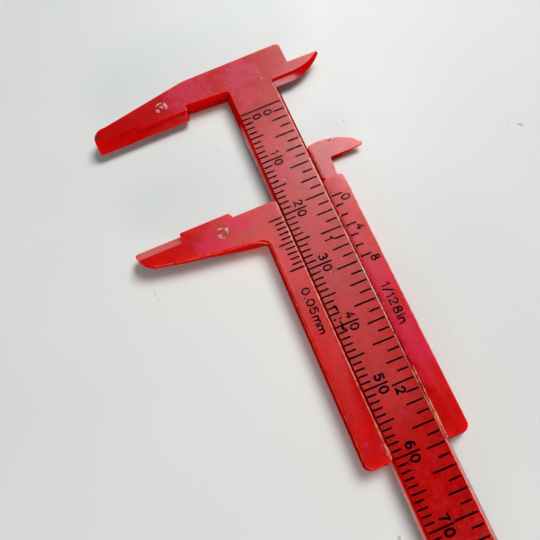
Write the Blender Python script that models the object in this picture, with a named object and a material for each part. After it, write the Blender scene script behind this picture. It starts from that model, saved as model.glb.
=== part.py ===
"""Small moulded-plastic vernier caliper: a main beam with its fixed jaws, and a slider.

Scale coordinates: X runs along the beam from the zero mark towards the tail, Y runs across it
from the beam's centreline towards the inch scale, and Z is up from the table. The empty
"scale_zero" carries them, so that the object's own origin is at the centre of its footprint.
"""

import math

import bmesh
import bpy
from mathutils import Vector

MM = 0.001

# Whole object
THICKNESS = 3.0
SCALE_READING = 20.18
HEAD_END_X = -11.15
BEAM_END_X = 96.85
OUTER_TIP_Y = -28.8
INNER_TIP_Y = 13.65

# Main beam: a dovetail strip, narrow side up
BEAM_TOP_HALF = 3.8
BEAM_FOOT_HALF = 4.6
BEAM_FOOT_Z = 1.0
BEAM_END_RADIUS = 1.0

# Head
HEAD_HALF = 7.7
HEAD_FOOT_HALF = 4.0
HEAD_NOSE_X = -4.9
HEAD_CORNER_RADIUS = 0.8

# Measuring planes, the same distance from both zero marks
OUTER_FACE_X = -4.2
INNER_FACE_X = -7.5
FACE_CLEARANCE = 0.03
KNIFE_Z = 1.5
KNIFE_LAND = 0.2

# Outer jaws
KNIFE_START_Y = -20.7
PAD_START_Y = -12.1
KNIFE_BEVEL = 1.75
JAW_BACK_Y = -10.8
RELIEF_ROOT_X = -5.85
RELIEF_PAD_X = -6.3
LEDGE_X = -5.25
LEDGE_Z = 2.3
UNDER_BEVEL = 2.1
THIN_START_Y = -11.5
THIN_MID = (-18.5, 1.1)
THIN_TIP = (-30.0, 1.45)

# Slider, measured from its own zero mark
SLIDER_FRONT_X = -3.24
SLIDER_END_X = 40.3
SLIDER_TOP_HALF = 7.58
SLIDER_FOOT_HALF = 8.15
SLIDER_END_DRAFT = 0.4
PARTING_Z = 1.55
PARTING_STEP = 0.1
BACK_PLATE = 0.7
RUNNING_GAP = 0.28
RAIL_CHAMFER = 0.18
SLIDER_CORNER_RADIUS = 1.2
PAD_CORNER_RADIUS = 0.45

# Inner jaws: the fixed one is the upper half of the thickness, the sliding one the lower half
INNER_SPLIT_Z = 1.55
INNER_GAP = 0.3
NECK_LEFT_Y = 4.4
NECK_TOP_X = -10.98
NECK_NOTCH = (-3.9, 4.85, 0.3)
JAW_NICK = ((-10.75, 9.45), (-10.2, 8.15), 0.17)
INNER_THIN_Y = 8.3
INNER_THIN = (11.6, 1.0)

# Ejector marks
MARK_DEPTH = 0.12
FIXED_MARK = (-7.6, -16.04, 1.15)
SLIDER_MARK = (-1.35, -14.19, 1.0)


def arc(centre, radius, start, end, steps=8):
    """Points on a circle from angle start to angle end, in degrees, both ends included."""
    points = []
    for step in range(steps + 1):
        angle = math.radians(start + (end - start) * step / steps)
        points.append((centre[0] + radius * math.cos(angle), centre[1] + radius * math.sin(angle)))
    return points


def bend(start, control, end, steps=10):
    """Points on a quadratic curve, both ends included."""
    points = []
    for step in range(steps + 1):
        t = step / steps
        points.append(tuple(
            (1 - t) ** 2 * a + 2 * t * (1 - t) * b + t ** 2 * c
            for a, b, c in zip(start, control, end)
        ))
    return points


def material(name, colour, roughness):
    made = bpy.data.materials.new(name)
    made.use_nodes = True
    shader = made.node_tree.nodes["Principled BSDF"]
    shader.inputs["Base Color"].default_value = (*colour, 1.0)
    shader.inputs["Roughness"].default_value = roughness
    shader.inputs["Metallic"].default_value = 0.0
    return made


def new_object(name, mesh_data, parent):
    mesh = bpy.data.meshes.new(name)
    mesh_data.to_mesh(mesh)
    mesh_data.free()
    made = bpy.data.objects.new(name, mesh)
    bpy.context.scene.collection.objects.link(made)
    made.parent = parent
    return made


def layered(name, layers, parent):
    """A closed solid through a stack of outlines, given as (height, outline) from the bottom up."""
    mesh_data = bmesh.new()
    rings = []
    for height, outline in layers:
        rings.append([mesh_data.verts.new((x * MM, y * MM, height * MM)) for x, y in outline])
    count = len(rings[0])
    for lower, upper in zip(rings, rings[1:]):
        for index in range(count):
            after = (index + 1) % count
            mesh_data.faces.new((lower[index], lower[after], upper[after], upper[index]))
    mesh_data.faces.new(reversed(rings[0]))
    mesh_data.faces.new(rings[-1])
    bmesh.ops.recalc_face_normals(mesh_data, faces=mesh_data.faces)
    return new_object(name, mesh_data, parent)


def plate(name, outline, low, high, parent):
    """An outline in plan, extruded between two heights."""
    return layered(name, [(low, outline), (high, outline)], parent)


def bar(name, profile, axis, low, high, parent):
    """A profile of (across, height) points, extruded along X or Y between low and high."""
    mesh_data = bmesh.new()
    if axis == "X":
        corners = [mesh_data.verts.new((low * MM, a * MM, h * MM)) for a, h in profile]
        travel = Vector(((high - low) * MM, 0, 0))
    else:
        corners = [mesh_data.verts.new((a * MM, low * MM, h * MM)) for a, h in profile]
        travel = Vector((0, (high - low) * MM, 0))
    face = mesh_data.faces.new(corners)
    grown = bmesh.ops.extrude_face_region(mesh_data, geom=[face])
    moved = [item for item in grown["geom"] if isinstance(item, bmesh.types.BMVert)]
    bmesh.ops.translate(mesh_data, verts=moved, vec=travel)
    bmesh.ops.recalc_face_normals(mesh_data, faces=mesh_data.faces)
    return new_object(name, mesh_data, parent)


def combine(target, helper, operation):
    """Add helper to target or cut it away, and keep helper only as a hidden guide."""
    modifier = target.modifiers.new(helper.name, "BOOLEAN")
    modifier.operation = operation
    modifier.solver = "EXACT"
    modifier.object = helper
    helper.hide_render = True
    helper.display_type = "WIRE"


def add(target, helper):
    combine(target, helper, "UNION")


def cut(target, helper):
    combine(target, helper, "DIFFERENCE")


def beam_strip(parent):
    """The dovetail strip that carries both main scales, from inside the head to the tail."""
    def outline(half):
        radius = BEAM_END_RADIUS
        start_x = HEAD_END_X + 2.0
        centre_x = BEAM_END_X - radius
        return (
            [(start_x, -half)]
            + arc((centre_x, radius - half), radius, -90, 0)
            + arc((centre_x, half - radius), radius, 0, 90)
            + [(start_x, half)]
        )
    layers = [(BEAM_FOOT_Z, outline(BEAM_FOOT_HALF)), (THICKNESS, outline(BEAM_TOP_HALF))]
    return layered("beam_strip", layers, parent)


def fixed_outer_jaw(parent):
    """The full-thickness part of the head and the fixed outer jaw, in one outline."""
    nose_y = -BEAM_TOP_HALF
    outline = (
        [(HEAD_NOSE_X, HEAD_FOOT_HALF), (HEAD_END_X, HEAD_FOOT_HALF), (HEAD_END_X, JAW_BACK_Y)]
        + arc((-6.35, -26.85), 1.95, 170, 270)
        + [(OUTER_FACE_X - 0.3, OUTER_TIP_Y), (OUTER_FACE_X, OUTER_TIP_Y + 0.3)]
        + [(OUTER_FACE_X, PAD_START_Y), (RELIEF_PAD_X, PAD_START_Y + 0.3)]
        + bend((RELIEF_ROOT_X, -4.9), (RELIEF_ROOT_X, nose_y), (HEAD_NOSE_X, nose_y), 6)
    )
    return plate("fixed_outer_jaw", outline, 0.0, THICKNESS, parent)


def fixed_inner_jaw(parent):
    """The upper-half part of the head and the fixed inner jaw, bevelled down to its edges."""
    def outline(face_x, tip, back_x, control):
        radius = HEAD_CORNER_RADIUS
        corner = (HEAD_END_X + radius, HEAD_HALF - radius)
        return (
            [(HEAD_END_X, HEAD_FOOT_HALF - 1.0)]
            + list(reversed(arc(corner, radius, 90, 180)))
            + [(face_x, HEAD_HALF)]
            + list(reversed(bend((back_x, 7.5), control, tip)))
            + [(back_x, HEAD_FOOT_HALF - 1.0)]
        )
    low = outline(INNER_FACE_X, (-6.95, INNER_TIP_Y), -3.6, (-4.0, 11.2))
    middle = outline(INNER_FACE_X + 0.55, (-6.7, 13.4), -4.45, (-4.6, 11.1))
    top = outline(INNER_FACE_X + 0.75, (-6.55, 13.2), -4.65, (-4.7, 11.0))
    low_z = INNER_SPLIT_Z + INNER_GAP / 2
    return layered("fixed_inner_jaw", [(low_z, low), (2.35, middle), (THICKNESS, top)], parent)


def knife_bevel(name, face_x, side, ends, parent):
    """Cutter for the slope from an outer jaw's top down to its knife edge; side is -1 or 1."""
    slope = (THICKNESS - KNIFE_Z - KNIFE_LAND / 2) / KNIFE_BEVEL
    land_top = KNIFE_Z + KNIFE_LAND / 2
    profile = [
        (face_x + side * (KNIFE_BEVEL + 0.25), THICKNESS + 0.25 * slope),
        (face_x - side, land_top - slope),
        (face_x - side, THICKNESS + 0.25 * slope),
    ]
    return bar(name, profile, "Y", ends[0], ends[1], parent)


def under_bevel(name, face_x, side, ends, parent):
    """Cutter for the slope from an outer jaw's underside up to its knife edge."""
    land_low = KNIFE_Z - KNIFE_LAND / 2
    slope = land_low / UNDER_BEVEL
    profile = [
        (face_x - side, land_low + slope),
        (face_x + side * (UNDER_BEVEL + 0.5), -0.5 * slope),
        (face_x + side * (UNDER_BEVEL + 0.5), -1.0),
        (face_x - side, -1.0),
    ]
    return bar(name, profile, "Y", ends[0], ends[1], parent)


def jaw_thinning(name, ends, parent):
    """Cutter for the underside of an outer jaw, which thins towards its tip."""
    profile = [(THIN_START_Y, 0.0), THIN_MID, THIN_TIP, (THIN_TIP[0], -1.0), (THIN_START_Y, -1.0)]
    return bar(name, profile, "X", ends[0], ends[1], parent)


def ejector_mark(name, mark, parent):
    """Cutter for the shallow round mark that an ejector pin leaves."""
    x, y, radius = mark
    outline = arc((x, y), radius, 0, 360 - 15, 23)
    return plate(name, outline, THICKNESS - MARK_DEPTH, THICKNESS + 1.0, parent)


def build_main_beam(parent):
    beam = fixed_outer_jaw(parent)
    beam.name = "main_beam"
    add(beam, beam_strip(parent))
    add(beam, fixed_inner_jaw(parent))
    outside = OUTER_TIP_Y - 1.0
    cut(beam, knife_bevel("fixed_knife_bevel", OUTER_FACE_X, -1, (outside, KNIFE_START_Y), parent))
    ledge = [
        (LEDGE_X, THICKNESS + 0.5),
        (LEDGE_X, LEDGE_Z),
        (OUTER_FACE_X, KNIFE_Z + KNIFE_LAND / 2),
        (OUTER_FACE_X + 1.0, KNIFE_Z + KNIFE_LAND / 2),
        (OUTER_FACE_X + 1.0, THICKNESS + 0.5),
    ]
    cut(beam, bar("fixed_ledge", ledge, "Y", KNIFE_START_Y, PAD_START_Y + 0.5, parent))
    cut(beam, under_bevel("fixed_under_bevel", OUTER_FACE_X, -1, (outside, PAD_START_Y + 0.5), parent))
    cut(beam, jaw_thinning("fixed_thinning", (HEAD_END_X - 1.0, OUTER_FACE_X + 1.0), parent))
    cut(beam, ejector_mark("fixed_mark", FIXED_MARK, parent))
    return beam


def slider_body(parent):
    """The drafted block that becomes the rails and the back plate."""
    def outline(half, end_x):
        radius = SLIDER_CORNER_RADIUS
        centre_x = end_x - radius
        front = SLIDER_FRONT_X
        return (
            [(front, -half)]
            + arc((centre_x, radius - half), radius, -90, 0)
            + arc((centre_x, half - radius), radius, 0, 90)
            + list(arc((front + 0.7, half - 0.7), 0.7, 90, 180, 5))
        )
    step = PARTING_STEP
    end_x = SLIDER_END_X - SLIDER_END_DRAFT / 2
    layers = [
        (0.0, outline(SLIDER_FOOT_HALF, SLIDER_END_X)),
        (PARTING_Z, outline(SLIDER_FOOT_HALF - 0.2, end_x + step)),
        (PARTING_Z + 0.05, outline(SLIDER_FOOT_HALF - 0.2 - step, end_x)),
        (THICKNESS, outline(SLIDER_TOP_HALF, SLIDER_END_X - SLIDER_END_DRAFT)),
    ]
    return layered("slider_body", layers, parent)


def sliding_outer_jaw(parent):
    """The sliding outer jaw, in plan, with its raised pad and its relieved root."""
    face_x = OUTER_FACE_X + FACE_CLEARANCE
    outline = (
        [(SLIDER_FRONT_X, -5.0), (SLIDER_FRONT_X, PAD_START_Y + 0.5)]
        + [(face_x + 0.15, PAD_START_Y + 0.1), (face_x, PAD_START_Y - 0.1)]
        + [(face_x, OUTER_TIP_Y + 0.6)]
        + bend((face_x + 0.2, OUTER_TIP_Y), (-1.9, OUTER_TIP_Y), (-0.75, -26.6), 6)
        + bend((0.43, -21.27), (0.8, -18.9), (1.2, -16.3), 4)
        + bend((2.35, -8.8), (2.5, -7.9), (3.5, -7.6), 5)
        + [(3.5, -5.0)]
    )
    return plate("sliding_outer_jaw", outline, 0.0, THICKNESS, parent)


def sliding_inner_jaw(parent):
    """The lower-half neck beside the beam and the sliding inner jaw."""
    top = INNER_SPLIT_Z - INNER_GAP / 2
    outline = (
        [(SLIDER_FRONT_X + 2.0, NECK_LEFT_Y), (NECK_TOP_X + 0.1, NECK_LEFT_Y)]
        + bend((NECK_TOP_X, 6.2), (NECK_TOP_X + 0.1, 11.0), (-7.95, 13.25))
        + [(-7.75, 13.33), (-7.5, 13.22), (INNER_FACE_X + 0.1, 12.95)]
        + [(INNER_FACE_X + 0.1, 7.55), (INNER_FACE_X + 0.2, 7.42)]
        + [(SLIDER_FRONT_X, 7.05), (SLIDER_FRONT_X + 2.0, 7.05)]
    )
    return plate("sliding_inner_jaw", outline, 0.0, top, parent)


def inner_jaw_thinning(parent):
    """Cutter for the underside of the sliding inner jaw, which thins towards its tip."""
    far = (INNER_TIP_Y + 1.0, INNER_THIN[1] + 0.1)
    profile = [(INNER_THIN_Y, 0.0), INNER_THIN, far, (far[0], -1.0), (INNER_THIN_Y, -1.0)]
    return bar("inner_jaw_thinning", profile, "X", NECK_TOP_X - 1.0, INNER_FACE_X + 1.0, parent)


def neck_notch(parent):
    """Cutter for the small half-round recess where the neck meets the right rail."""
    x, y, radius = NECK_NOTCH
    return plate("neck_notch", arc((x, y), radius, 0, 345, 23), 1.0, INNER_SPLIT_Z, parent)


def jaw_nick(parent):
    """Cutter for the short groove at the back edge of the sliding inner jaw."""
    (x1, y1), (x2, y2), width = JAW_NICK
    length = math.hypot(x2 - x1, y2 - y1)
    side_x = -(y2 - y1) / length * width / 2
    side_y = (x2 - x1) / length * width / 2
    outline = [
        (x1 + side_x, y1 + side_y),
        (x1 - side_x, y1 - side_y),
        (x2 - side_x, y2 - side_y),
        (x2 + side_x, y2 + side_y),
    ]
    return plate("jaw_nick", outline, 1.1, INNER_SPLIT_Z, parent)


def rail_corner(parent):
    """Cutter for the chamfer at the left rail's inner front corner."""
    front = SLIDER_FRONT_X
    outline = [(front - 0.15, -5.05), (front + 0.43, -3.9), (front - 0.15, -3.9)]
    return plate("rail_corner", outline, BACK_PLATE, THICKNESS + 0.5, parent)


def pad_corner(parent, face_x):
    """Cutter that rounds the outer corner of the sliding jaw's raised pad."""
    radius = PAD_CORNER_RADIUS
    inside = radius - 0.03
    centre = (face_x + inside, KNIFE_START_Y + inside)
    outside = (face_x - 0.2, KNIFE_START_Y - 0.2)
    outline = (
        [outside, (centre[0], outside[1])]
        + list(arc(centre, radius, 270, 180, 6))
        + [(outside[0], centre[1])]
    )
    return plate("pad_corner", outline, KNIFE_Z, THICKNESS + 0.5, parent)


def beam_channel(parent):
    """Cutter for the dovetail channel that the main beam runs in."""
    foot = BEAM_FOOT_HALF + RUNNING_GAP
    slope = (BEAM_FOOT_HALF - BEAM_TOP_HALF) / (THICKNESS - BEAM_FOOT_Z)
    chamfer = RAIL_CHAMFER
    throat = BEAM_TOP_HALF + RUNNING_GAP + slope * chamfer
    profile = [
        (-foot, BACK_PLATE),
        (foot, BACK_PLATE),
        (foot, BEAM_FOOT_Z),
        (throat, THICKNESS - chamfer),
        (throat + chamfer * 1.5, THICKNESS + chamfer * 0.5),
        (-throat - chamfer * 1.5, THICKNESS + chamfer * 0.5),
        (-throat, THICKNESS - chamfer),
        (-foot, BEAM_FOOT_Z),
    ]
    return bar("beam_channel", profile, "X", NECK_TOP_X - 1.0, SLIDER_END_X + 1.0, parent)


def build_slider(parent):
    slider = slider_body(parent)
    slider.name = "slider"
    add(slider, sliding_outer_jaw(parent))
    add(slider, sliding_inner_jaw(parent))
    cut(slider, beam_channel(parent))
    cut(slider, inner_jaw_thinning(parent))
    cut(slider, neck_notch(parent))
    cut(slider, jaw_nick(parent))
    cut(slider, rail_corner(parent))
    face_x = OUTER_FACE_X + FACE_CLEARANCE
    outside = OUTER_TIP_Y - 1.0
    cut(slider, knife_bevel("sliding_knife_bevel", face_x, 1, (outside, KNIFE_START_Y), parent))
    cut(slider, under_bevel("sliding_under_bevel", face_x, 1, (outside, PAD_START_Y + 0.8), parent))
    cut(slider, pad_corner(parent, face_x))
    cut(slider, jaw_thinning("sliding_thinning", (face_x - 1.0, 6.0), parent))
    cut(slider, ejector_mark("slider_mark", SLIDER_MARK, parent))
    return slider


def main():
    for old in list(bpy.data.objects):
        bpy.data.objects.remove(old, do_unlink=True)

    scale_zero = bpy.data.objects.new("scale_zero", None)
    bpy.context.scene.collection.objects.link(scale_zero)
    scale_zero.location = (
        -(HEAD_END_X + BEAM_END_X) / 2 * MM,
        -(OUTER_TIP_Y + INNER_TIP_Y) / 2 * MM,
        0.0,
    )
    slider_zero = bpy.data.objects.new("slider_zero", None)
    bpy.context.scene.collection.objects.link(slider_zero)
    slider_zero.parent = scale_zero
    slider_zero.location = (SCALE_READING * MM, 0.0, 0.0)

    beam = build_main_beam(scale_zero)
    beam.data.materials.append(material("beam_red_plastic", (0.62, 0.02, 0.03), 0.28))
    slider = build_slider(slider_zero)
    slider.data.materials.append(material("slider_red_plastic", (0.66, 0.03, 0.04), 0.28))


main()
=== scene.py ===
import math

import bmesh
import bpy
from mathutils import Matrix, Vector


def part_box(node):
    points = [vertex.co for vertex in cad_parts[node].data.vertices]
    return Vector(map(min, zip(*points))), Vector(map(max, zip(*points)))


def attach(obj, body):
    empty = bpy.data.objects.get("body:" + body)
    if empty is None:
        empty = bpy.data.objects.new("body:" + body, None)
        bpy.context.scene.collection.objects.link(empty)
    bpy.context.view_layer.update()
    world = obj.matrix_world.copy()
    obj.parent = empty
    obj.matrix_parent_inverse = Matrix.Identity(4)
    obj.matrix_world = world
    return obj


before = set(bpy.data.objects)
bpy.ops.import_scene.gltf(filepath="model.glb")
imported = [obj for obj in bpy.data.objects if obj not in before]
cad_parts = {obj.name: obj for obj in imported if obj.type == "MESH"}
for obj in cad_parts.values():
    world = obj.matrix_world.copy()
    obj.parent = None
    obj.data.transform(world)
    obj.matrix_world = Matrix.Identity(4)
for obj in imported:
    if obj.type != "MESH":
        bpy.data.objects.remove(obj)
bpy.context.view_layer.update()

MM = 0.001
INCH = 25.4

# From each moulding's low corner to its zero line and to the middle line, in millimetres
BEAM_ZERO_X = 11.15
SLIDER_ZERO_X = 10.98
MIDDLE_Y = 28.8

BEAM_LOW, BEAM_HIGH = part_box("main_beam")
SLIDER_LOW, SLIDER_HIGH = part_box("slider")
BEAM_ZERO = Vector((BEAM_LOW.x + BEAM_ZERO_X * MM, BEAM_LOW.y + MIDDLE_Y * MM, BEAM_HIGH.z))
SLIDER_ZERO = Vector((SLIDER_LOW.x + SLIDER_ZERO_X * MM, BEAM_ZERO.y, SLIDER_HIGH.z))
ZEROS = {"beam": BEAM_ZERO, "slider": SLIDER_ZERO}

# The mouldings' ends from their zero lines, and the edges of their top faces from the middle line
BEAM_END = (BEAM_HIGH.x - BEAM_ZERO.x) / MM
SLIDER_END = (SLIDER_HIGH.x - SLIDER_ZERO.x) / MM
BEAM_EDGE = 3.80
LEFT_RAIL_EDGE = -4.24
RIGHT_RAIL_EDGE = 4.13
RAIL_OUTSIDE = 7.60
EDGE_DEPTH = 0.05
EDGE_ROUNDING = 0.10

# Ink, in millimetres
INK_LIFT = 0.012
INK_SINK = 0.02
TICK_WIDTH = 0.26
DIGIT_STROKE = 0.25
DIGIT_HEIGHT = 1.4
DIGIT_WIDTH = 0.98


def wobble(*numbers):
    """A repeatable value from -1 to 1 for these numbers."""
    total = sum(n * k for n, k in zip(numbers, (12.9898, 78.233, 37.719)))
    value = math.sin(total) * 43758.5453
    return 2 * (value - math.floor(value)) - 1


# Materials

class Nodes:
    """A small helper for a material's node tree."""

    def __init__(self, name):
        self.material = bpy.data.materials.new(name)
        self.material.use_nodes = True
        self.tree = self.material.node_tree
        self.shader = self.tree.nodes["Principled BSDF"]
        place = self.tree.nodes.new("ShaderNodeTexCoord")
        self.place = place.outputs["Object"]

    def link(self, output, target):
        self.tree.links.new(output, target)

    def noise(self, size_mm, detail=3.0, roughness=0.5, seed=0.0, stretch=(1, 1, 1)):
        """Noise with features of about this size."""
        mapping = self.tree.nodes.new("ShaderNodeMapping")
        mapping.inputs["Location"].default_value = (seed, seed * 1.7, seed * 0.3)
        mapping.inputs["Scale"].default_value = tuple(1.0 / s for s in stretch)
        self.link(self.place, mapping.inputs["Vector"])
        node = self.tree.nodes.new("ShaderNodeTexNoise")
        node.inputs["Scale"].default_value = 1.0 / (size_mm * MM)
        node.inputs["Detail"].default_value = detail
        node.inputs["Roughness"].default_value = roughness
        self.link(mapping.outputs["Vector"], node.inputs["Vector"])
        return node.outputs["Fac"]

    def range(self, value, low, high, to_low=0.0, to_high=1.0):
        node = self.tree.nodes.new("ShaderNodeMapRange")
        node.interpolation_type = "SMOOTHSTEP"
        node.inputs["From Min"].default_value = low
        node.inputs["From Max"].default_value = high
        node.inputs["To Min"].default_value = to_low
        node.inputs["To Max"].default_value = to_high
        self.link(value, node.inputs["Value"])
        return node.outputs["Result"]

    def math(self, operation, first, second):
        node = self.tree.nodes.new("ShaderNodeMath")
        node.operation = operation
        for socket, value in zip(node.inputs, (first, second)):
            if isinstance(value, (int, float)):
                socket.default_value = value
            else:
                self.link(value, socket)
        return node.outputs["Value"]

    def mix(self, factor, first, second):
        """Mixes two colours, each a colour or an output."""
        node = self.tree.nodes.new("ShaderNodeMix")
        node.data_type = "RGBA"
        self.link(factor, node.inputs["Factor"])
        colours = [s for s in node.inputs if s.type == "RGBA"]
        for socket, value in zip(colours, (first, second)):
            if isinstance(value, tuple):
                socket.default_value = (*value, 1.0)
            else:
                self.link(value, socket)
        return [s for s in node.outputs if s.type == "RGBA"][0]

    def patch(self, centre, radius_mm, soft=0.5):
        """1 inside a ball round this point, falling to 0 at its radius."""
        node = self.tree.nodes.new("ShaderNodeVectorMath")
        node.operation = "DISTANCE"
        self.link(self.place, node.inputs[0])
        node.inputs[1].default_value = tuple(centre)
        inner = radius_mm * MM * (1 - soft)
        return self.range(node.outputs["Value"], inner, radius_mm * MM, 1.0, 0.0)

    def axis(self, index):
        """One coordinate of the surface, in metres."""
        node = self.tree.nodes.new("ShaderNodeSeparateXYZ")
        self.link(self.place, node.inputs[0])
        return node.outputs[index]

    def facing(self, index):
        """One component of the surface's own direction."""
        node = self.tree.nodes.new("ShaderNodeNewGeometry")
        parts = self.tree.nodes.new("ShaderNodeSeparateXYZ")
        self.link(node.outputs["True Normal"], parts.inputs[0])
        return parts.outputs[index]

    def bump(self, height, distance_mm, strength=1.0, after=None):
        node = self.tree.nodes.new("ShaderNodeBump")
        node.inputs["Strength"].default_value = strength
        node.inputs["Distance"].default_value = distance_mm * MM
        self.link(height, node.inputs["Height"])
        if after is not None:
            self.link(after, node.inputs["Normal"])
        return node.outputs["Normal"]


def stained(nodes, red, seed):
    """The red itself: cloudy, with darker stains and grain."""
    warm = (red[0] * 1.12, 0.0045, 0.0030)
    deep = (red[0] * 0.62, 0.0006, 0.0010)
    cloud = nodes.noise(7.0, 2.0, 0.5, seed)
    colour = nodes.mix(nodes.range(cloud, 0.35, 0.7), red, warm)
    stain = nodes.noise(1.1, 6.0, 0.75, seed + 0.5)
    colour = nodes.mix(nodes.range(stain, 0.48, 0.66, 0.0, 0.60), colour, deep)
    grain = nodes.noise(0.24, 3.0, 0.65, seed + 0.3)
    return nodes.mix(nodes.range(grain, 0.42, 0.72, 0.0, 0.45), colour, deep)


def blotched(nodes, blotches, seed):
    """How magenta the plastic is: mottled patches on the faces that look up, partly a painted
    sheen of overhead light.
    """
    area = 0.0
    for centre, radius, strength in blotches:
        spot = nodes.math("MULTIPLY", nodes.patch(centre, radius, 0.85), strength)
        area = nodes.math("MAXIMUM", area, spot)
    mottle = nodes.noise(1.8, 6.0, 0.80, seed + 0.7)
    magenta_sheen = nodes.math("ADD", mottle, nodes.math("MULTIPLY", area, 0.30))
    magenta_sheen = nodes.range(magenta_sheen, 0.58, 0.78)
    return nodes.math("MULTIPLY", magenta_sheen, nodes.range(nodes.facing(2), 0.6, 0.9))


def scuffed_sides(nodes, flank):
    """Painted pale reflection on the beam's left side below its top edge and its right side
    towards the tail.
    """
    middle, half = flank
    across = nodes.math("SUBTRACT", middle, nodes.axis(1))
    side = nodes.range(across, half, half + 0.15 * MM)
    top = BEAM_HIGH.z
    low = nodes.range(nodes.axis(2), top - 1.6 * MM, top - 0.6 * MM, 1.0, 0.0)
    start = nodes.range(nodes.axis(0), BEAM_ZERO.x + 0.5 * MM, BEAM_ZERO.x + 3 * MM)
    side = nodes.math("MULTIPLY", nodes.math("MULTIPLY", side, low), start)
    far = nodes.range(nodes.axis(0), BEAM_ZERO.x + 52 * MM, BEAM_ZERO.x + 60 * MM)
    other = nodes.range(across, -half - 0.10 * MM, -half, 1.0, 0.0)
    return nodes.math("MAXIMUM", side, nodes.math("MULTIPLY", other, far))


def thin_tip(nodes, knife):
    """A painted pale sheen on the slopes of a jaw tip that face towards the head and up."""
    centre, radius = knife
    thin = nodes.range(nodes.facing(0), -0.5, -0.3, 1.0, 0.0)
    thin = nodes.math("MULTIPLY", thin, nodes.range(nodes.facing(2), 0.4, 0.6))
    return nodes.math("MULTIPLY", thin, nodes.patch(centre, radius, 0.2))


def dirty_chip(nodes, chip, seed):
    """Near-black speckles in a small spot at a chip in an edge."""
    centre, radius = chip
    crumbs = nodes.range(nodes.noise(0.3, 2.0, 0.6, seed), 0.3, 0.5)
    return nodes.math("MULTIPLY", nodes.patch(centre, radius, 0.5), crumbs)


def red_plastic(name, red, blotches, seed, chip=None, flank=None, knife=None):
    """Glossy moulded red plastic with a cloudy surface and painted sheen in places.

    blotches are (centre, radius, strength) of magenta patches, chip is the centre and radius of a
    near-black spot at a chip, flank is the middle line and half width beyond which the sides get a
    painted pale reflection, and knife is the centre and radius round a jaw tip whose slopes get a
    painted pale sheen.
    """
    nodes = Nodes(name)
    colour = stained(nodes, red, seed)
    magenta_sheen = blotched(nodes, blotches, seed)
    # Magenta tint: mottled, and partly a painted reflection of overhead light on upward faces
    colour = nodes.mix(magenta_sheen, colour, (red[0] * 1.08, 0.0006, 0.040))
    rough = nodes.range(nodes.noise(0.9, 6.0, 0.8, seed + 0.9), 0.35, 0.65, 0.11, 0.27)
    rough = nodes.math("ADD", rough, nodes.math("MULTIPLY", magenta_sheen, 0.12))
    if flank:
        side = scuffed_sides(nodes, flank)
        side_sheen = nodes.noise(0.8, 3.0, 0.6, seed + 1.7, (6, 1, 1))
        side_sheen = nodes.math("MULTIPLY", side, nodes.range(side_sheen, 0.3, 0.7, 0.6, 1.0))
        # Pale colour on the beam's sides: a painted reflection of the bright floor, on rougher
        # plastic
        colour = nodes.mix(side_sheen, colour, (0.80, 0.34, 0.32))
        rough = nodes.math("ADD", rough, nodes.math("MULTIPLY", side, 0.15))
    if knife:
        # Pale slopes at the jaw tip: a painted reflection
        colour = nodes.mix(thin_tip(nodes, knife), colour, (0.62, 0.15, 0.15))
    if chip:
        dark_spot = dirty_chip(nodes, chip, seed)
        # Near-black speckled spot at the chip
        colour = nodes.mix(dark_spot, colour, (0.012, 0.004, 0.004))
        rough = nodes.math("ADD", rough, nodes.math("MULTIPLY", dark_spot, 0.4))
    nodes.link(colour, nodes.shader.inputs["Base Color"])
    nodes.link(rough, nodes.shader.inputs["Roughness"])
    wave = nodes.bump(nodes.noise(2.2, 2.0, 0.5, seed + 1.1), 0.05, 0.4)
    fine = nodes.bump(nodes.noise(0.30, 3.0, 0.7, seed + 1.3), 0.012, 0.6, wave)
    nodes.link(fine, nodes.shader.inputs["Normal"])
    nodes.shader.inputs["IOR"].default_value = 1.35
    nodes.shader.inputs["Subsurface Weight"].default_value = 0.85
    nodes.shader.inputs["Subsurface Radius"].default_value = (1.0, 0.03, 0.03)
    nodes.shader.inputs["Subsurface Scale"].default_value = 2.2 * MM
    return nodes.material


def flash_plastic(name, seed, dull, bright):
    """Plastic for beads, broken between two colours that paint highlights, glints and the shade of
    gaps.
    """
    nodes = Nodes(name)
    broken = nodes.range(nodes.noise(1.1, 4.0, 0.7, seed), 0.38, 0.62)
    colour = nodes.mix(broken, dull, bright)
    nodes.link(colour, nodes.shader.inputs["Base Color"])
    rough = nodes.range(nodes.noise(0.5, 2.0, 0.5, seed + 0.4), 0.3, 0.7, 0.2, 0.35)
    nodes.link(rough, nodes.shader.inputs["Roughness"])
    nodes.shader.inputs["Subsurface Weight"].default_value = 0.3
    nodes.shader.inputs["Subsurface Radius"].default_value = (1.0, 0.2, 0.2)
    nodes.shader.inputs["Subsurface Scale"].default_value = 0.4 * MM
    return nodes.material


def ink(name, seed):
    """Printed ink: nearly black, with thin places that let the red through."""
    nodes = Nodes(name)
    thin = nodes.range(nodes.noise(0.28, 3.0, 0.6, seed), 0.5, 0.75)
    colour = nodes.mix(thin, (0.003, 0.001, 0.002), (0.045, 0.002, 0.003))
    nodes.link(colour, nodes.shader.inputs["Base Color"])
    rough = nodes.range(nodes.noise(0.4, 2.0, 0.5, seed + 0.2), 0.3, 0.7, 0.35, 0.55)
    nodes.link(rough, nodes.shader.inputs["Roughness"])
    nodes.shader.inputs["Specular IOR Level"].default_value = 0.0
    return nodes.material


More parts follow.
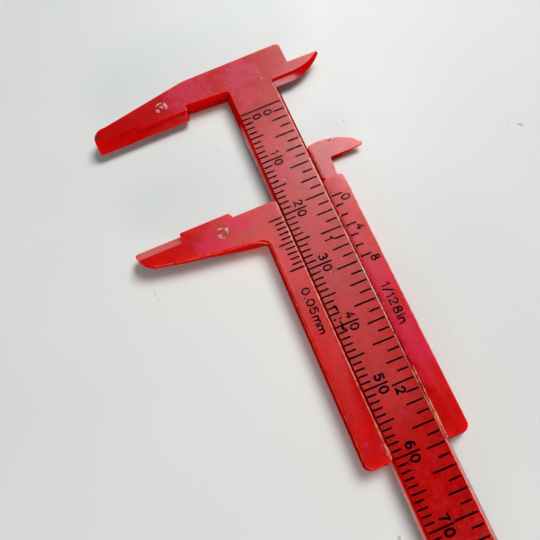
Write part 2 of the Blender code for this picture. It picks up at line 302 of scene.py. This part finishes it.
def floor_material():
    nodes = Nodes("floor_paint")
    cloud = nodes.range(nodes.noise(60.0, 2.0, 0.5), 0.3, 0.7)
    colour = nodes.mix(cloud, (0.70, 0.735, 0.715), (0.74, 0.77, 0.75))
    speck = nodes.range(nodes.noise(2.4, 1.0, 0.4, 0.5), 0.80, 0.86)
    colour = nodes.mix(speck, colour, (0.45, 0.46, 0.46))
    nodes.link(colour, nodes.shader.inputs["Base Color"])
    rough = nodes.range(nodes.noise(8.0, 2.0, 0.5, 0.9), 0.3, 0.7, 0.38, 0.44)
    nodes.link(rough, nodes.shader.inputs["Roughness"])
    return nodes.material


# Strokes: the ink is built from flat ribbons of constant width with round ends

def oval(centre, radii, start, end, steps=12):
    (x, y), (wide, high) = centre, radii
    points = []
    for step in range(steps + 1):
        angle = math.radians(start + (end - start) * step / steps)
        points.append((x + wide * math.cos(angle), y + high * math.sin(angle)))
    return points


# Each glyph is a list of lines in a box from 0, 0 to 1, 1
GLYPHS = {
    "0": [oval((0.5, 0.5), (0.42, 0.46), 0, 360, 20)],
    "1": [[(0.22, 0.76), (0.42, 0.82), (0.52, 0.96), (0.52, 0.04)]],
    "2": [oval((0.48, 0.70), (0.36, 0.26), 170, -30, 10) + [(0.10, 0.05), (0.88, 0.05)]],
    "3": [
        oval((0.46, 0.73), (0.34, 0.23), 160, -90, 10),
        oval((0.46, 0.27), (0.40, 0.24), 90, -155, 10),
    ],
    "4": [[(0.66, 0.04), (0.66, 0.96), (0.06, 0.32), (0.92, 0.32)]],
    "5": [
        [(0.82, 0.95), (0.22, 0.95), (0.16, 0.55)]
        + oval((0.46, 0.34), (0.40, 0.30), 125, -150, 12),
    ],
    "6": [
        oval((0.50, 0.31), (0.38, 0.27), 0, 360, 18),
        oval((0.62, 0.40), (0.50, 0.56), 180, 80, 8),
    ],
    "7": [[(0.10, 0.95), (0.88, 0.95), (0.62, 0.60), (0.42, 0.04)]],
    "8": [
        oval((0.50, 0.74), (0.30, 0.22), 0, 360, 16),
        oval((0.50, 0.27), (0.38, 0.24), 0, 360, 18),
    ],
    "/": [[(0.05, -0.05), (0.60, 1.0)]],
    ".": [[(0.20, 0.03), (0.22, 0.05)]],
    "m": [
        [(0.08, 0.04), (0.08, 0.66)],
        [(0.08, 0.42)] + oval((0.30, 0.46), (0.20, 0.20), 150, 0, 7) + [(0.50, 0.04)],
        [(0.50, 0.42)] + oval((0.72, 0.46), (0.20, 0.20), 150, 0, 7) + [(0.92, 0.04)],
    ],
    "i": [[(0.14, 0.04), (0.14, 0.66)], [(0.14, 0.93), (0.14, 0.95)]],
    "n": [
        [(0.12, 0.04), (0.12, 0.66)],
        [(0.12, 0.38)] + oval((0.45, 0.42), (0.31, 0.24), 160, 0, 8) + [(0.76, 0.04)],
    ],
}

# In words, the step to the next glyph in widths, and wider glyphs
USUAL_ADVANCE = 1.22
ADVANCE = {"/": 0.72, ".": 0.50, "i": 0.36, "n": 1.0, "1": 0.86, "m": 1.38}
STRETCH = {"m": 1.30}


def riding_piece(name, shape, material, body, smooth=False):
    """Makes a piece of this bmesh and has it ride on the body."""
    bmesh.ops.recalc_face_normals(shape, faces=shape.faces)
    mesh = bpy.data.meshes.new(name)
    shape.to_mesh(mesh)
    shape.free()
    for polygon in mesh.polygons:
        polygon.use_smooth = smooth
    mesh.materials.append(material)
    made = bpy.data.objects.new(name, mesh)
    bpy.context.scene.collection.objects.link(made)
    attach(made, body)


class Ink:
    """Collects strokes, in millimetres from a body's zero line, into one flat mesh."""

    def __init__(self, body):
        self.mesh = bmesh.new()
        self.body = body
        self.zero = ZEROS[body]

    def corner(self, x, y, z):
        return self.mesh.verts.new(self.zero + Vector((x, y, z)) * MM)

    def ribbon(self, points, width, closed=False):
        """A ribbon along these points, a little uneven in width."""
        spots = [Vector(p) for p in points]
        if closed:
            spots = spots[:-1]
        count = len(spots)
        rows = []
        for index, spot in enumerate(spots):
            before = spots[index - 1] if index or closed else spot
            after = spots[(index + 1) % count] if index < count - 1 or closed else spot
            one = (spot - before).normalized() if spot != before else (after - spot).normalized()
            two = (after - spot).normalized() if after != spot else one
            along = (one + two).normalized() if (one + two).length > 0.2 else two
            side = Vector((-along.y, along.x))
            reach = min(1.6, 1.0 / max(0.5, along.dot(one)))
            half = width / 2 * reach * (1 + 0.10 * wobble(spot.x * 3.1, spot.y * 5.3))
            rows.append((spot + side * half, spot - side * half))
        if not closed:
            rows = self.round_end(spots[0], spots[1], width, True) + rows
            rows += self.round_end(spots[-1], spots[-2], width, False)
        self.solid(rows, closed)

    def round_end(self, spot, inner, width, first):
        away = (spot - inner).normalized()
        side = Vector((-away.y, away.x)) * (-1 if first else 1)
        rows = []
        for turn in (0.45, 0.9):
            reach = math.sin(turn * math.pi / 2) * width * 0.5
            half = math.cos(turn * math.pi / 2) * width * 0.5
            rows.append((spot + away * reach + side * half, spot + away * reach - side * half))
        return list(reversed(rows)) if first else rows

    def solid(self, rows, closed):
        rings = []
        for left, right in rows:
            rings.append((
                self.corner(left.x, left.y, INK_LIFT),
                self.corner(right.x, right.y, INK_LIFT),
                self.corner(right.x, right.y, -INK_SINK),
                self.corner(left.x, left.y, -INK_SINK),
            ))
        pairs = list(zip(rings, rings[1:]))
        if closed:
            pairs.append((rings[-1], rings[0]))
        for a, b in pairs:
            for k in range(4):
                n = (k + 1) % 4
                self.mesh.faces.new((a[k], a[n], b[n], b[k]))
        if not closed:
            self.mesh.faces.new(rings[0])
            self.mesh.faces.new(tuple(reversed(rings[-1])))

    def tick(self, x, start, end, width=TICK_WIDTH):
        """A tick across the scale, with slightly uneven ends."""
        start += 0.04 * wobble(x, start)
        end += 0.06 * wobble(x, end, 3.0)
        lean = 0.015 * wobble(x, 9.0)
        points = []
        for step in range(5):
            t = step / 4
            sway = lean * (t - 0.5) + 0.012 * wobble(x, step)
            points.append((x + sway, start + (end - start) * t))
        self.ribbon(points, width)

    def glyph(self, letter, x, y, width, height, stroke):
        """A glyph in a box whose lower left corner is x, y."""
        width *= STRETCH.get(letter, 1.0)
        for line in GLYPHS[letter]:
            closed = len(line) > 3 and (Vector(line[0]) - Vector(line[-1])).length < 1e-4
            self.ribbon([(x + u * width, y + v * height) for u, v in line], stroke, closed)

    def text(self, words, start, end, y, height, stroke):
        """Words along the scale from start to end, with their feet at y."""
        steps = [ADVANCE.get(letter, USUAL_ADVANCE) for letter in words]
        width = (end - start) / (sum(steps) - 0.15)
        x = start
        for letter, step in zip(words, steps):
            self.glyph(letter, x, y, width, height, stroke)
            x += width * step

    def finish(self, name, material):
        riding_piece(name, self.mesh, material, self.body)


def digit(ink_mesh, letter, x, y, stroke=DIGIT_STROKE):
    """A scale digit centred on x, y."""
    width = DIGIT_WIDTH
    ink_mesh.glyph(letter, x - width / 2, y - DIGIT_HEIGHT / 2, width, DIGIT_HEIGHT, stroke)


def millimetre_scale(material):
    print_mesh = Ink("beam")
    for mark in range(0, 81):
        inner = -2.4
        if mark % 5 == 0:
            inner = -1.6
        if mark % 10 == 0:
            inner = -0.15
        if mark == 0:
            inner = 0.15
        if mark == 39:
            # only two dots of this mark are left
            print_mesh.tick(mark - 0.14, -3.55, -3.30)
            print_mesh.tick(mark - 0.11, -2.68, -2.48)
            continue
        print_mesh.tick(mark, -3.72, inner)
    digit(print_mesh, "0", 1.28, -1.24)
    for ten in range(1, 9):
        stroke = 0.30 if ten > 4 else DIGIT_STROKE
        digit(print_mesh, str(ten), 10 * ten - 1.0, -1.0, stroke)
        digit(print_mesh, "0", 10 * ten + 0.86, -1.1, stroke)
    flaws(print_mesh)
    print_mesh.finish("millimetre_scale_print", material)


def flaws(print_mesh):
    """Smudged ink near the marks at 37 to 41."""
    print_mesh.ribbon([(36.81, -2.61), (37.3, -2.46), (37.67, -2.39)], 0.32)
    print_mesh.ribbon([(39.34, -2.78), (39.9, -2.70), (40.53, -2.75)], 0.24)
    print_mesh.ribbon([(40.42, -2.84), (40.58, -2.74)], 0.38)
    print_mesh.ribbon([(40.67, -2.43), (41.04, -2.55)], 0.24)


def inch_scale(material):
    print_mesh = Ink("beam")
    sixteenth = INCH / 16
    for mark in range(0, 51):
        inner = 1.86
        if mark % 2 == 0:
            inner = 0.95
        if mark % 4 == 0:
            inner = 0.25
        print_mesh.tick(mark * sixteenth, inner, 3.44)
    digit(print_mesh, "0", 1.25, 0.75)
    for inch, shift in ((1, 1.30), (2, 1.05), (3, 1.10)):
        digit(print_mesh, str(inch), INCH * inch + shift, 1.05, 0.30)
    # a blot of ink by the 2
    print_mesh.ribbon([(51.35, 0.45), (51.7, 0.62), (52.1, 0.50)], 0.28)
    print_mesh.finish("inch_scale_print", material)


def millimetre_vernier(material):
    print_mesh = Ink("slider")
    for mark in range(0, 11):
        outer = -6.6 if mark % 5 == 0 else -5.85
        print_mesh.tick(mark * 0.9, outer, -4.33)
    print_mesh.text("0.05mm", 12.30, 19.82, -6.33, 1.28, 0.22)
    print_mesh.finish("millimetre_vernier_print", material)


def inch_vernier(material):
    print_mesh = Ink("slider")
    pitch = INCH * 7 / 16 / 6
    for mark in range(0, 7):
        outer = 6.05 if mark % 3 == 0 else 5.5
        print_mesh.tick(mark * pitch, 4.35, outer)
    for place, letter in ((0.91, "0"), (6.47, "4"), (12.05, "8")):
        digit(print_mesh, letter, place, 6.36, 0.22)
    print_mesh.text("1/128in", 16.15, 23.0, 5.17, 1.35, 0.23)
    print_mesh.finish("inch_vernier_print", material)


# The two mouldings

def soften(node, width_mm):
    """Rounds a moulding's edges, as a mould does."""
    for polygon in node.data.polygons:
        polygon.use_smooth = True
    weld = node.modifiers.new("weld", "WELD")
    weld.merge_threshold = 0.002 * MM
    flat = node.modifiers.new("flat_faces", "DECIMATE")
    flat.decimate_type = "DISSOLVE"
    flat.angle_limit = math.radians(1.0)
    edges = node.modifiers.new("soft_edges", "BEVEL")
    edges.width = width_mm * MM
    edges.segments = 3
    edges.limit_method = "ANGLE"
    edges.angle_limit = math.radians(15)
    edges.use_clamp_overlap = True
    crisp = node.modifiers.new("crisp_faces", "EDGE_SPLIT")
    crisp.split_angle = math.radians(12)


def dress(node_name, material):
    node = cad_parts[node_name]
    node.data.materials.clear()
    node.data.materials.append(material)
    soften(node, EDGE_ROUNDING)


# Beads: thin raised lines where mould halves meet and along edges, coloured as painted highlights
# and painted shade

def resample(points, gap):
    """The same path with a point about every gap millimetres."""
    made = []
    for first, second in zip(points, points[1:]):
        a, b = Vector(first), Vector(second)
        count = max(1, int((b - a).length / gap))
        made += [a.lerp(b, step / count) for step in range(count)]
    return made + [Vector(points[-1])]


def bead_half(spot, width, swell):
    """Half the width of a bead here: uneven, and wider at burrs, where the painted highlight
    widens.
    """
    half = width / 2 * (1 + 0.35 * wobble(round(spot.x * 3), round(spot.y * 3), 1.0))
    for place, extra, reach in swell:
        half += extra / 2 * max(0.0, 1 - abs(spot.x - place) / reach)
    return half


def flash_line(name, body, points, width, material, swell=()):
    """A thin uneven bead along points (x, y, depth below the top face), in millimetres.

    swell lists (place along x, extra width, reach) for burrs, where the painted highlight widens.
    """
    path = resample(points, 0.25)
    shape = bmesh.new()
    rings = []
    for index, spot in enumerate(path):
        before = path[max(0, index - 1)]
        after = path[min(len(path) - 1, index + 1)]
        along = (after - before).normalized()
        side = Vector((-along.y, along.x, 0)).normalized()
        rise = along.cross(side).normalized()
        half = bead_half(spot, width, swell)
        if index in (0, len(path) - 1):
            half *= 0.3
        high = min(half, width * 0.6)
        ring = []
        for step in range(8):
            angle = step * math.pi / 4
            place = spot + side * half * math.cos(angle) + rise * high * math.sin(angle)
            corner = ZEROS[body] + Vector((place.x, place.y, -place.z)) * MM
            ring.append(shape.verts.new(corner))
        rings.append(ring)
    for first, second in zip(rings, rings[1:]):
        for k in range(8):
            n = (k + 1) % 8
            shape.faces.new((first[k], first[n], second[n], second[k]))
    shape.faces.new(rings[0])
    shape.faces.new(tuple(reversed(rings[-1])))
    riding_piece(name, shape, material, body, smooth=True)


def on_wall(node, zero, start, aim):
    """Where a line from start, going along aim, first meets the node, as (x, y, depth)."""
    inverse = node.matrix_world.inverted()
    place = zero + Vector((start[0], start[1], -start[2])) * MM
    hit, spot, _, _ = node.ray_cast(inverse @ place, inverse.to_3x3() @ Vector(aim).normalized())
    if not hit:
        return None
    found = (node.matrix_world @ spot - zero) / MM
    return (found.x, found.y, -found.z)


def parting_path(node):
    """The mould's parting line along the outer jaw's back, the left rail and round its end."""
    jaw = [(8, -27.0 + 1.1 * k, 0.45) for k in range(17)]
    rail = [(3.2 + 2 * k, -14, 0.62) for k in range(18)]
    found = [on_wall(node, SLIDER_ZERO, start, (-1, 0, 0)) for start in jaw]
    found += [on_wall(node, SLIDER_ZERO, start, (0, 1, 0)) for start in rail]
    for turn in range(0, 91, 9):
        way = Vector((math.sin(math.radians(turn)), -math.cos(math.radians(turn)), 0))
        outside = Vector((SLIDER_END - 2.4, -5.4, 0.75)) + way * 8
        found.append(on_wall(node, SLIDER_ZERO, outside, -way))
    return [spot for spot in found if spot]


def edge(start, end, y, depth=EDGE_DEPTH):
    """A straight line along the top face."""
    return [(start, y, depth), (end, y, depth)]


def slider_flash(plastics, parting):
    # red is the dark painted shade for gaps; coral, orange and pale paint highlights
    coral, orange, pale, red = (plastics[key] for key in ("coral", "orange", "pale", "gap_shade_paint"))
    # Burrs where the painted highlight widens
    burrs = [(38.7, 0.50, 1.5), (35.9, 0.26, 1.8)]
    # Coral and orange lines along the rails' inner edges: painted highlights
    line = edge(-2.9, 28.0, LEFT_RAIL_EDGE)
    flash_line("left_rail_edge", "slider", line, 0.20, coral)
    line = edge(28.0, SLIDER_END - 0.6, LEFT_RAIL_EDGE)
    flash_line("left_rail_edge_end", "slider", line, 0.17, orange, burrs)
    # Dark red bead over the gap by the right rail: painted shade
    line = edge(-2.9, 29.0, RIGHT_RAIL_EDGE + 0.05, EDGE_DEPTH + 0.02)
    flash_line("right_rail_edge", "slider", line, 0.36, red)
    line = edge(29.0, SLIDER_END - 0.3, RIGHT_RAIL_EDGE)
    line[0] = (29.0, RIGHT_RAIL_EDGE + 0.02, EDGE_DEPTH)
    flash_line("right_rail_edge_end", "slider", line, 0.24, orange, [(37.5, 0.12, 4.0)])
    # Pale line along the right rail's outer edge: a painted highlight
    line = edge(-2.4, 30.0, RAIL_OUTSIDE, 0.04)
    flash_line("right_rail_outer_edge", "slider", line, 0.20, pale)
    # Dark red beads at the neck's step and its gap by the beam: painted shade
    line = [(-10.5, 4.75, 1.6), (-4.7, 4.97, 1.6), (-3.9, 4.9, 1.6)]
    flash_line("neck_step_shade", "slider", line, 0.14, red)
    line = edge(-10.6, -4.0, 4.64, 1.62)
    flash_line("neck_gap_shade", "slider", line, 0.22, red)
    # A raised flash ridge along the parting line, painted orange as its highlight
    flash_line("slider_parting_line", "slider", parting, 0.16, orange)


def beam_flash(plastics):
    orange, pale = plastics["orange"], plastics["pale"]
    # Pale and orange lines along the beam's and head's right edges: painted highlights
    flash_line("beam_right_edge", "beam", edge(-3.9, 44.0, BEAM_EDGE), 0.20, pale)
    flash_line("beam_right_edge_middle", "beam", edge(44.0, 60.0, BEAM_EDGE), 0.16, orange)
    flash_line("beam_right_edge_end", "beam", edge(60.0, BEAM_END - 1.0, BEAM_EDGE), 0.12, pale)
    flash_line("head_right_edge", "beam", edge(-10.2, -7.4, 7.66, 0.06), 0.12, pale)


# Raised crumbs round the ejector marks, painted pale as glints: radius, start and end in degrees,
# and width
CRUMB_DEPTH = 0.02
FIXED_MARK = (-7.6, -16.04)
FIXED_CRUMBS = [
    (0.95, 45, 130, 0.50), (0.98, 150, 235, 0.26), (0.70, -95, -30, 0.44), (0.30, 40, 220, 0.30),
]
SLIDER_MARK = (-1.35, -14.19)
SLIDER_CRUMBS = [
    (0.85, 45, 130, 0.50), (0.88, 150, 220, 0.30), (0.62, -85, -20, 0.52), (0.92, -15, 35, 0.16),
]


def mark_ridge(name, body, centre, arcs, material):
    """Crumbs of plastic round an ejector mark, painted pale as glints."""
    for number, (radius, start, end, width) in enumerate(arcs):
        points = []
        for step in range(13):
            angle = math.radians(start + (end - start) * step / 12)
            reach = radius * (1 + 0.08 * wobble(step, radius, number))
            x = centre[0] + reach * math.cos(angle)
            y = centre[1] + reach * math.sin(angle)
            points.append((x, y, CRUMB_DEPTH))
        flash_line(f"{name}_{number + 1}", body, points, width, material)


# Small scratches, painted pale as glints; the last on the beam is only a painted glint at the
# fixed pad's inner end. Columns: where, half length, direction in degrees and width
BEAM_FLECKS = [
    (14.2, -1.5, 0.45, 60, 0.15), (14.7, -1.0, 0.30, 130, 0.12), (31.7, -1.0, 0.18, 40, 0.09),
    (32.3, -0.3, 0.22, 110, 0.09), (-5.7, 2.3, 0.25, 20, 0.10), (-5.4, 2.7, 0.20, 100, 0.10),
    (-9.8, -2.5, 0.25, 150, 0.10), (-5.5, -11.95, 0.40, 0, 0.14),
]
SLIDER_FLECKS = [
    (0.1, -9.4, 0.40, 65, 0.08), (0.95, -13.4, 0.18, 20, 0.10),
]


def flecks(body, places, material):
    """Small scratches with raised edges, painted pale as glints."""
    for number, (x, y, half, angle, width) in enumerate(places):
        way = Vector((math.cos(math.radians(angle)), math.sin(math.radians(angle)))) * half
        points = [(x - way.x, y - way.y, 0.02), (x, y + 0.05, -0.01), (x + way.x, y + way.y, 0.02)]
        flash_line(f"{body}_fleck_{number + 1}", body, points, width, material)


# The stage

def floor(material):
    half = 1.6
    mesh = bpy.data.meshes.new("floor")
    corners = [(-half, -half, 0), (half, -half, 0), (half, half, 0), (-half, half, 0)]
    mesh.from_pydata(corners, [], [(0, 1, 2, 3)])
    mesh.materials.append(material)
    made = bpy.data.objects.new("floor", mesh)
    made.location = (0, 0, BEAM_LOW.z)
    bpy.context.scene.collection.objects.link(made)
    made.visible_glossy = False


def panel(name, place, target, size, power, colour=(1, 1, 1)):
    """A soft rectangular light at a place in millimetres, aimed at a target."""
    light = bpy.data.lights.new(name, "AREA")
    light.shape = "RECTANGLE"
    light.size = size[0] * MM
    light.size_y = size[1] * MM
    light.energy = power
    light.color = colour
    made = bpy.data.objects.new(name, light)
    bpy.context.scene.collection.objects.link(made)
    made.location = Vector(place) * MM
    aim = (Vector(target) - Vector(place)).normalized()
    made.rotation_mode = "QUATERNION"
    made.rotation_quaternion = aim.to_track_quat("-Z", "Y")
    return made


def reflector(name, place, target, size, power):
    """A panel that only shows as a soft reflection in glossy surfaces."""
    made = panel(name, place, target, size, power)
    made.visible_diffuse = False


def diffuser(name, place, target, size, power, colour=(1, 1, 1)):
    """A panel that lights surfaces but does not mirror in them."""
    made = panel(name, place, target, size, power, colour)
    made.visible_glossy = False


def lights():
    """Daylight from the right, with pale panels mirrored in parts of the top faces."""
    world = bpy.data.worlds.new("studio")
    world.use_nodes = True
    background = world.node_tree.nodes["Background"]
    background.inputs["Color"].default_value = (0.93, 0.97, 1.0, 1.0)
    background.inputs["Strength"].default_value = 0.09
    world.cycles_visibility.glossy = False
    bpy.context.scene.world = world
    diffuser("key", (-330, 540, 740), (0, 0, 0), (440, 440), 9.6)
    diffuser("bounce", (480, -60, 85), (-20, 0, 0), (300, 100), 2.1, (1.0, 0.80, 0.76))
    diffuser("side", (-80, -480, 70), (-20, 0, 0), (300, 60), 0.8)
    reflector("rim", (205, 105, 305), (-47, 15, 0), (110, 110), 0.45)
    reflector("veil", (-200, 65, 400), (-200, 65, 0), (220, 125), 0.35)
    reflector("veil_root", (-190, 5, 400), (-190, 5, 0), (80, 60), 0.06)
    reflector("veil_end", (-40, 60, 400), (-40, 60, 0), (110, 50), 0.05)
    reflector("veil_neck", (-240, 122, 400), (-240, 122, 0), (100, 60), 0.36)
    reflector("veil_tip", (-350, 130, 400), (-350, 130, 0), (70, 60), 0.14)
    reflector("sky", (-480, 260, 400), (-480, 260, 0), (130, 580), 1.4)


def camera():
    """The photograph's viewing angle, close over the caliper and a little past its middle."""
    data = bpy.data.cameras.new("camera")
    data.sensor_width = 36.0
    data.lens = 36.0
    data.clip_start = 0.01
    data.clip_end = 10.0
    made = bpy.data.objects.new("camera", data)
    bpy.context.scene.collection.objects.link(made)
    right = Vector((0.37225, 0.92335, -0.09405))
    up = Vector((-0.87686, 0.38309, 0.29044))
    back = right.cross(up).normalized()
    turn = Matrix((right, up, back)).transposed()
    made.rotation_mode = "QUATERNION"
    made.rotation_quaternion = turn.to_quaternion()
    made.location = Vector((10.44, -4.02, 83.25)) * MM
    bpy.context.scene.camera = made


def point_on(body, x, y, below=0.0):
    """A point in metres, from millimetres along and across a body's scales."""
    return ZEROS[body] + Vector((x, y, -below)) * MM


def dress_beam():
    blotches = [
        (point_on("beam", -8.5, -10.5), 7.5, 1.0),
        (point_on("beam", -8.0, -1.0), 6.5, 1.0),
        (point_on("beam", -3.5, -1.5), 5.0, 0.9),
        (point_on("beam", 6.0, 0.0), 5.0, 0.5),
        (point_on("beam", 13.5, -1.5), 4.5, 0.7),
        (point_on("beam", 24.0, -2.0), 4.0, 0.3),
    ]
    chip = (point_on("beam", -7.05, -28.31, 0.4), 0.75)
    flank = (BEAM_ZERO.y, (BEAM_EDGE + 0.02) * MM)
    red = (0.50, 0.0008, 0.0012)
    dress("main_beam", red_plastic("beam_plastic", red, blotches, 0.11, chip, flank))


def dress_slider():
    blotches = [
        (point_on("slider", 0.0, -16.5), 5.0, 1.0),
        (point_on("slider", -2.0, -11.0), 3.8, 1.0),
        (point_on("slider", 7.0, 6.2), 5.0, 0.7),
        (point_on("slider", 15.0, 6.2), 6.0, 1.0),
        (point_on("slider", 25.0, 6.2), 9.0, 1.0),
        (point_on("slider", 37.5, -6.0), 4.0, 0.35),
    ]
    knife = (point_on("slider", -2.0, -24.0), 5.5)
    red = (0.58, 0.0008, 0.0012)
    dress("slider", red_plastic("slider_plastic", red, blotches, 0.53, knife=knife))


def worn_plastics():
    """Bead plastics: painted highlights, painted glints on crumbs and scratches, and painted gap
    shade.
    """
    return {
        # Orange, coral and pale: painted highlights
        "orange": flash_plastic("orange_flash_highlight", 0.37, (0.62, 0.06, 0.04), (0.85, 0.28, 0.16)),
        "coral": flash_plastic("coral_edge_highlight", 0.43, (0.76, 0.16, 0.11), (0.92, 0.40, 0.28)),
        "pale": flash_plastic("pale_edge_highlight", 0.71, (0.80, 0.24, 0.23), (0.90, 0.50, 0.46)),
        # Dark red painted shade for gaps and the neck's step
        "gap_shade_paint": flash_plastic("deep_gap_shade", 0.83, (0.40, 0.0008, 0.005), (0.62, 0.0012, 0.014)),
        "crumb": flash_plastic("crumb_glint_plastic", 0.19, (0.62, 0.08, 0.10), (0.95, 0.50, 0.50)),
    }


def main():
    # the walls are measured before the mouldings get their rounding
    bpy.context.view_layer.update()
    parting = parting_path(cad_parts["slider"])
    dress_beam()
    dress_slider()
    plastics = worn_plastics()
    slider_flash(plastics, parting)
    beam_flash(plastics)
    mark_ridge("fixed_mark", "beam", FIXED_MARK, FIXED_CRUMBS, plastics["crumb"])
    mark_ridge("slider_mark", "slider", SLIDER_MARK, SLIDER_CRUMBS, plastics["crumb"])
    flecks("beam", BEAM_FLECKS, plastics["pale"])
    flecks("slider", SLIDER_FLECKS, plastics["pale"])
    beam_ink = ink("beam_ink", 0.2)
    slider_ink = ink("slider_ink", 0.6)
    millimetre_scale(beam_ink)
    inch_scale(beam_ink)
    millimetre_vernier(slider_ink)
    inch_vernier(slider_ink)
    floor(floor_material())
    lights()
    camera()
    bpy.context.scene.view_settings.view_transform = "Standard"


main()
